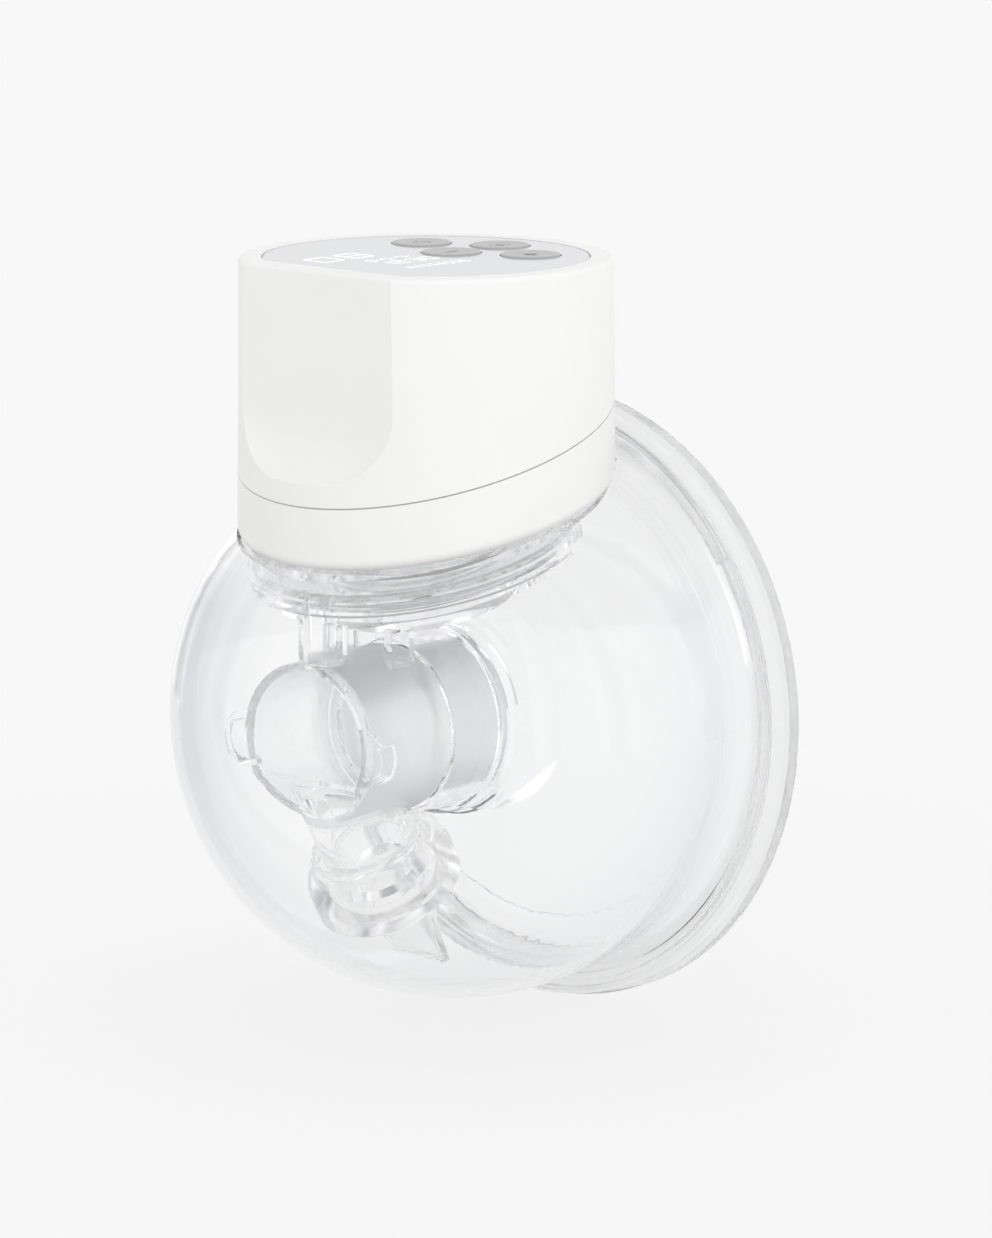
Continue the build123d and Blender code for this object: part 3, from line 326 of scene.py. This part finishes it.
# The white shell carries painted light on its bottom: paler, with a faint painted glow (lit).
WHITE = moulded("white_shell", (0.925, 0.925, 0.912), (0.95, 0.95, 0.937), 0.36, sheen=0.2,
                lit=0.2, painted_underside=True)
LENS = moulded("lens_grey", (0.60, 0.61, 0.63), (0.63, 0.64, 0.66), 0.12, coat=0.3)
BUTTON = moulded("button_grey", (0.47, 0.47, 0.47), (0.52, 0.52, 0.52), 0.38)
RUBBER = moulded("white_silicone", (0.80, 0.80, 0.79), (0.85, 0.85, 0.84), 0.5, grain=1800.0,
                 depth=0.1)
SEAL = moulded("grey_seal", (0.42, 0.42, 0.43), (0.48, 0.48, 0.49), 0.55, grain=1800.0)
BLACK = moulded("black_plastic", (0.020, 0.020, 0.022), (0.035, 0.035, 0.038), 0.42,
                grain=3200.0, depth=0.3)
STEEL = moulded("steel", (0.55, 0.55, 0.56), (0.65, 0.65, 0.66), 0.28, metallic=1.0)
COPPER = moulded("copper", (0.60, 0.28, 0.16), (0.75, 0.38, 0.24), 0.35, grain=5200.0,
                 depth=0.5, metallic=1.0)
MAGNET = moulded("magnet", (0.10, 0.10, 0.11), (0.16, 0.16, 0.17), 0.6, grain=1400.0, depth=0.4)
BOARD = moulded("board_green", (0.010, 0.090, 0.040), (0.016, 0.125, 0.055), 0.32, grain=900.0,
                coat=0.4)
LED = moulded("led_white", (0.80, 0.80, 0.76), (0.88, 0.88, 0.84), 0.25, coat=0.3)
WRAP = moulded("battery_wrap", (0.05, 0.12, 0.30), (0.07, 0.16, 0.38), 0.3, grain=700.0,
               coat=0.3)
FOAM = moulded("foam", (0.22, 0.22, 0.23), (0.32, 0.32, 0.33), 0.9, grain=1500.0, depth=0.9)
SLOTS = {
    "clear_plastic": CLEAR, "clear_silicone": SILICONE, "white_plastic": WHITE,
    "lens_grey": LENS, "button_grey": BUTTON, "dark_seal": SEAL, "steel": STEEL,
    "white_silicone": RUBBER, "black_plastic": BLACK, "copper": COPPER, "magnet": MAGNET,
    "board_green": BOARD, "led": LED, "battery_wrap": WRAP, "foam": FOAM,
}
for part in frame["record"]["subparts"]:
    obj = nodes[part["node"]]
    obj.data.materials.clear()
    obj.data.materials.append(SLOTS[part["material_slot"]])
nodes["linker"].data.materials[0] = LINKER
nodes["breast_shield"].data.materials[0] = SHIELD

# ---------------------------------------------------------------- drawing marks

MARK_RISE = 0.00004
CAP_STEPS, ARC_STEPS = 6, 28


def skin(bm, rings):
    """Faces from each ring of vertices to the next, and over both ends."""
    for one, two in zip(rings, rings[1:]):
        for k in range(len(one)):
            m = (k + 1) % len(one)
            bm.faces.new((one[k], one[m], two[m], two[k]))
    bm.faces.new(rings[0][::-1])
    bm.faces.new(rings[-1])


def bar(bm, start, end, width, z):
    """A thin flat bar with rounded ends from start to end, on the level z."""
    run = (Vector(end) - Vector(start)).normalized()
    across = Vector((-run.y, run.x))
    outline = []
    for centre, sign in ((Vector(end), 1), (Vector(start), -1)):
        for i in range(CAP_STEPS + 1):
            turn = pi * i / CAP_STEPS
            outline.append(centre + width / 2 * sign * (sin(turn) * run - cos(turn) * across))
    skin(bm, [[bm.verts.new((p.x, p.y, h)) for p in outline] for h in (z, z + MARK_RISE)])


def arc(bm, centre, radius, start, end, width, z):
    """A thin flat arc on the level z, from start to end in degrees from +X."""
    inner, outer = radius - width / 2, radius + width / 2
    top = z + MARK_RISE
    rings = []
    for i in range(ARC_STEPS + 1):
        a = radians(start + (end - start) * i / ARC_STEPS)
        rings.append([
            bm.verts.new((centre[0] + r * cos(a), centre[1] + r * sin(a), h))
            for r, h in ((inner, z), (outer, z), (outer, top), (inner, top))
        ])
    skin(bm, rings)


def add_piece(name, bm, mat, body):
    bmesh.ops.recalc_face_normals(bm, faces=bm.faces)
    mesh = bpy.data.meshes.new(name)
    bm.to_mesh(mesh)
    bm.free()
    piece = bpy.data.objects.new(name, mesh)
    mesh.materials.append(mat)
    bpy.context.scene.collection.objects.link(piece)
    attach(piece, body)
    return piece


# ---------------------------------------------------------------- lit marks on the display lens

GLOW = moulded("lit_white", (0.90, 0.90, 0.90), (0.94, 0.94, 0.94), 0.3, lit=0.35)
INK = moulded("icon_ink", (0.12, 0.12, 0.12), (0.17, 0.17, 0.17), 0.45)
LENS_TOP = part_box("display_lens")[1][2]
# The seven bars of a digit, each between two corners (u, v): u in widths, v in half heights.
SEGMENTS = {
    "a": ((0, 2), (1, 2)), "b": ((1, 2), (1, 1)), "c": ((1, 1), (1, 0)), "d": ((0, 0), (1, 0)),
    "e": ((0, 1), (0, 0)), "f": ((0, 2), (0, 1)), "g": ((0, 1), (1, 1)),
}
DIGITS = {"0": "abcdef", "1": "bc", "2": "abged", "3": "abgcd", "8": "abcdefg"}
SEGMENT_GAP = 0.62  # left free at both ends of a segment, in strokes

LEVEL_DIGITS = ("0", -0.0290), ("8", -0.0206)  # a digit and the y where it starts
LEVEL_FOOT, LEVEL_HIGH, LEVEL_WIDE, LEVEL_STROKE = -0.0076, 0.0060, 0.0054, 0.0006
TIMER_DIGITS = ("1", -0.0236), ("2", -0.0200), ("3", -0.0152), ("0", -0.0116)
TIMER_FOOT, TIMER_HIGH, TIMER_WIDE, TIMER_STROKE = 0.0042, 0.0036, 0.0024, 0.0004
COLON_X, COLON_Y, COLON_DOT = (0.0017, 0.0031), (-0.0165, -0.0164), 0.0005
STEP_COUNT, STEP_Y, STEP_PITCH, STEP_STROKE = 8, -0.0235, 0.0021, 0.0006
STEP_FOOT, STEP_TOP, STEP_GROWTH = 0.0088, 0.0104, 0.0002
RING_COUNT, RING_X, RING_Y, RING_PITCH = 3, -0.0025, -0.0215, 0.0042
RING_RADIUS, RING_STROKE, RING_OPENING = 0.0011, 0.0003, 60
RING_TAIL = 0.0016, 0.0024


def digit(bm, name, x, y, high, wide, stroke):
    """A seven-bar digit on the lens, read along +Y with its foot at x: its top points to -X."""
    for key in DIGITS[name]:
        (u0, v0), (u1, v1) = SEGMENTS[key]
        start = Vector((x - v0 * high / 2, y + u0 * wide))
        end = Vector((x - v1 * high / 2, y + u1 * wide))
        step = (end - start).normalized() * (stroke * SEGMENT_GAP)
        bar(bm, start + step, end - step, stroke, LENS_TOP)


def level_digits(bm):
    for name, y in LEVEL_DIGITS:
        digit(bm, name, LEVEL_FOOT, y, LEVEL_HIGH, LEVEL_WIDE, LEVEL_STROKE)


def timer_digits(bm):
    for name, y in TIMER_DIGITS:
        digit(bm, name, TIMER_FOOT, y, TIMER_HIGH, TIMER_WIDE, TIMER_STROKE)
    for x in COLON_X:
        bar(bm, (x, COLON_Y[0]), (x, COLON_Y[1]), COLON_DOT, LENS_TOP)


def mode_marks(bm):
    """A row of bars, each longer than the last, and three rings that open, each with a tail."""
    for i in range(STEP_COUNT):
        y = STEP_Y + i * STEP_PITCH
        bar(bm, (STEP_FOOT, y), (STEP_TOP + STEP_GROWTH * i, y), STEP_STROKE, LENS_TOP)
    for i in range(RING_COUNT):
        y = RING_Y + i * RING_PITCH
        arc(bm, (RING_X, y), RING_RADIUS, 0, 360 - RING_OPENING * i, RING_STROKE, LENS_TOP)
        bar(bm, (RING_X, y + RING_TAIL[0]), (RING_X, y + RING_TAIL[1]), RING_STROKE, LENS_TOP)


for draw in (level_digits, timer_digits, mode_marks):
    bm = bmesh.new()
    draw(bm)
    add_piece(draw.__name__, bm, GLOW, "pump_unit")

# ---------------------------------------------------------------- printed marks on the buttons

BUTTON_DISH = 0.00024  # how far a button's dished face is below its top
ICON_STROKE = 0.0005
POWER_RADIUS, POWER_ARC, POWER_STEM = 0.0019, (215, 505), (0.0013, 0.0026)
MODE_RADIUS, MODE_ARCS, MODE_DASH = 0.0020, ((20, 160), (200, 340)), 0.0008
SIGN_ARM = 0.0018

for node in ("button_power", "button_mode", "button_plus", "button_minus"):
    low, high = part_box(node)
    x, y, z = (low[0] + high[0]) / 2, (low[1] + high[1]) / 2, high[2] - BUTTON_DISH
    bm = bmesh.new()
    if node == "button_power":
        arc(bm, (x, y), POWER_RADIUS, *POWER_ARC, ICON_STROKE, z)
        bar(bm, (x - POWER_STEM[0], y), (x - POWER_STEM[1], y), ICON_STROKE, z)
    elif node == "button_mode":
        for span in MODE_ARCS:
            arc(bm, (x, y), MODE_RADIUS, *span, ICON_STROKE, z)
        bar(bm, (x - MODE_DASH, y), (x + MODE_DASH, y), ICON_STROKE, z)
    else:
        bar(bm, (x, y - SIGN_ARM), (x, y + SIGN_ARM), ICON_STROKE, z)
        if node == "button_plus":
            bar(bm, (x - SIGN_ARM, y), (x + SIGN_ARM, y), ICON_STROKE, z + MARK_RISE / 4)
    add_piece(node + "_icon", bm, INK, node)

# ---------------------------------------------------------------- release valve's return spring

SPRING_WIRE, SPRING_TURNS, SPRING_KEEP = 0.00016, 3, 0.68
SPRING_STEPS, WIRE_SIDES = 72, 8


def return_spring():
    """The coil on the release plunger, as its own piece."""
    low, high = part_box("release_spring")
    y, z = (low[1] + high[1]) / 2, (low[2] + high[2]) / 2
    radius = (high[1] - low[1]) / 2 - SPRING_WIRE
    x0, x1 = low[0] + SPRING_WIRE, high[0] - SPRING_WIRE
    bm = bmesh.new()
    rings = []
    for i in range(SPRING_STEPS + 1):
        turn = 2 * pi * SPRING_TURNS * i / SPRING_STEPS
        x = x0 + (x1 - x0) * i / SPRING_STEPS
        ring = []
        for k in range(WIRE_SIDES):
            a = 2 * pi * k / WIRE_SIDES
            r = radius + SPRING_WIRE * cos(a)
            at = (x + SPRING_WIRE * sin(a), y + r * cos(turn), z + r * sin(turn))
            ring.append(bm.verts.new(at))
        rings.append(ring)
    skin(bm, rings)
    spring = add_piece("return_spring", bm, STEEL, "pump_unit")
    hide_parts("release_spring")
    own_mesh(spring)


return_spring()

# ---------------------------------------------------------------- stage, light, camera

PALE = 0.94  # the backdrop's level; 1 is white
# The tent is a ring of panels. TENT gives its grey from a gap between two panels, past a bright
# strip, to the middle of a panel. Its white is TENT_WHITE where the tent is reflected, and
# TENT_THROUGH where it is seen through a clear wall.
PANELS, TENT_WHITE, TENT_THROUGH = 8.0, 1.24, 1.16
TENT = (0.0, 0.56), (0.50, 0.775), (0.07, 0.58), (0.14, 1.0), (0.40, 1.0)
FILL_LEVEL, KEY_LEVEL = 0.85, 1.07  # its level as light, away from the key and towards it
KEY_FROM = Vector((0.93, -0.28, 0.15))
KEY_ENERGY, KEY_ANGLE = 0.25, radians(50)
FLOOR_RADIUS, FLOOR_Y, FLOOR_SIDES, FLOOR_GAP = 0.42, 0.02, 96, 0.0002
FLOOR_GREY, FLOOR_ROUGH = 0.8, 0.9
FLOOR_GLOW, FLOOR_GLOW_AT = (0.88, 1.0), (0.05, 0.28)  # the backdrop's share, near and far
AZIMUTH, ELEVATION, DISTANCE = radians(41.71), radians(10.67), 1.2
TARGET = Vector((0.0, 0.012, 0.017))
FOCAL_PIXELS, FRAME_PIXELS, SENSOR = 6000, 1238, 36


def make_world():
    """A white tent: even to the camera, panelled in gloss and in clear walls."""
    world = bpy.data.worlds.new("studio")
    bpy.context.scene.world = world
    world.use_nodes = True
    tree = world.node_tree
    back = tree.nodes["Background"]
    direction = coordinates(tree)["Generated"]
    at = split(tree, direction)
    turn = maths(tree, "ARCTAN2", at["Y"], at["X"])
    panel = maths(tree, "COSINE", product(tree, turn, PANELS))
    stops = tree.nodes.new("ShaderNodeValToRGB")
    tree.links.new(ramp(tree, panel, 0.0, 1.0, -1.0, 1.0), stops.inputs["Fac"])
    elements = stops.color_ramp.elements
    for i, (position, grey) in enumerate(TENT):
        stop = elements[i] if i < 2 else elements.new(position)
        stop.position, stop.color = position, (grey, grey, grey, 1)
    reflected = ramp(tree, stops.outputs["Color"], 0.0, TENT_WHITE, 0.0, 1.0)
    through = ramp(tree, stops.outputs["Color"], 0.0, TENT_THROUGH, 0.0, 1.0)
    key = vector_maths(tree, "DOT_PRODUCT", direction, KEY_FROM.normalized())
    level = ramp(tree, key, FILL_LEVEL, KEY_LEVEL, 0.0, 1.0)
    path = tree.nodes.new("ShaderNodeLightPath")
    for kind, other in (
        ("Is Glossy Ray", reflected), ("Is Transmission Ray", through), ("Is Camera Ray", None),
    ):
        mix = tree.nodes.new("ShaderNodeMix")
        mix.data_type = "FLOAT"
        tree.links.new(path.outputs[kind], mix.inputs["Factor"])
        tree.links.new(level, mix.inputs["A"])
        if other:
            tree.links.new(other, mix.inputs["B"])
        else:
            mix.inputs["B"].default_value = PALE
        level = mix.outputs["Result"]
    tree.links.new(level, back.inputs["Strength"])
    back.inputs["Color"].default_value = (1.0, 1.0, 1.0, 1)


def seen_directly(tree):
    """1 for rays that show the backdrop: from the camera, by reflection or through plastic."""
    path = tree.nodes.new("ShaderNodeLightPath")
    total = path.outputs["Is Camera Ray"]
    for kind in ("Is Glossy Ray", "Is Transmission Ray"):
        total = maths(tree, "ADD", total, path.outputs[kind])
        total.node.use_clamp = True
    return total


def floor_paint():
    """Paint that shows the backdrop's level, with a soft shadow near the object."""
    mat, tree, bsdf = new_material("floor_paint")
    bsdf.inputs["Base Color"].default_value = (FLOOR_GREY, FLOOR_GREY, FLOOR_GREY, 1)
    bsdf.inputs["Roughness"].default_value = FLOOR_ROUGH
    glow = tree.nodes.new("ShaderNodeEmission")
    glow.inputs["Strength"].default_value = PALE
    length = vector_maths(tree, "LENGTH", coordinates(tree)["Object"])
    share = product(tree, seen_directly(tree), ramp(tree, length, *FLOOR_GLOW, *FLOOR_GLOW_AT))
    mix = tree.nodes.new("ShaderNodeMixShader")
    tree.links.new(share, mix.inputs["Fac"])
    tree.links.new(bsdf.outputs["BSDF"], mix.inputs[1])
    tree.links.new(glow.outputs["Emission"], mix.inputs[2])
    tree.links.new(mix.outputs["Shader"], tree.nodes["Material Output"].inputs["Surface"])
    return mat


def make_floor():
    """A disc just under the object."""
    z = CAD_BOX[0][2] - FLOOR_GAP
    bm = bmesh.new()
    ring = []
    for i in range(FLOOR_SIDES):
        a = 2 * pi * i / FLOOR_SIDES
        ring.append(bm.verts.new((FLOOR_RADIUS * cos(a), FLOOR_Y + FLOOR_RADIUS * sin(a), z)))
    bm.faces.new(ring)
    mesh = bpy.data.meshes.new("floor")
    bm.to_mesh(mesh)
    bm.free()
    floor = bpy.data.objects.new("floor", mesh)
    bpy.context.scene.collection.objects.link(floor)
    mesh.materials.append(floor_paint())


def make_camera():
    data = bpy.data.cameras.new("camera")
    data.lens = FOCAL_PIXELS / FRAME_PIXELS * SENSOR
    data.sensor_width = SENSOR
    data.clip_end = 50
    camera = bpy.data.objects.new("camera", data)
    bpy.context.scene.collection.objects.link(camera)
    flat = cos(ELEVATION)
    toward = Vector((sin(AZIMUTH) * flat, -cos(AZIMUTH) * flat, sin(ELEVATION)))
    camera.location = TARGET + DISTANCE * toward
    camera.rotation_euler = (-toward).to_track_quat("-Z", "Y").to_euler()
    bpy.context.scene.camera = camera


def make_key():
    """A wide soft sun on the surfaces, unseen in gloss and through clear walls."""
    sun = bpy.data.lights.new("key", "SUN")
    sun.energy = KEY_ENERGY
    sun.angle = KEY_ANGLE
    lamp = bpy.data.objects.new("key", sun)
    bpy.context.scene.collection.objects.link(lamp)
    lamp.rotation_euler = (-KEY_FROM).to_track_quat("-Z", "Y").to_euler()
    lamp.visible_glossy = False
    lamp.visible_transmission = False


make_world()
make_floor()
make_camera()
make_key()

scene = bpy.context.scene
scene.view_settings.view_transform = "Standard"
scene.cycles.max_bounces = 80  # the nested clear walls turn black where paths are cut short
scene.cycles.transmission_bounces = 70
scene.cycles.glossy_bounces = 70
scene.cycles.diffuse_bounces = 6
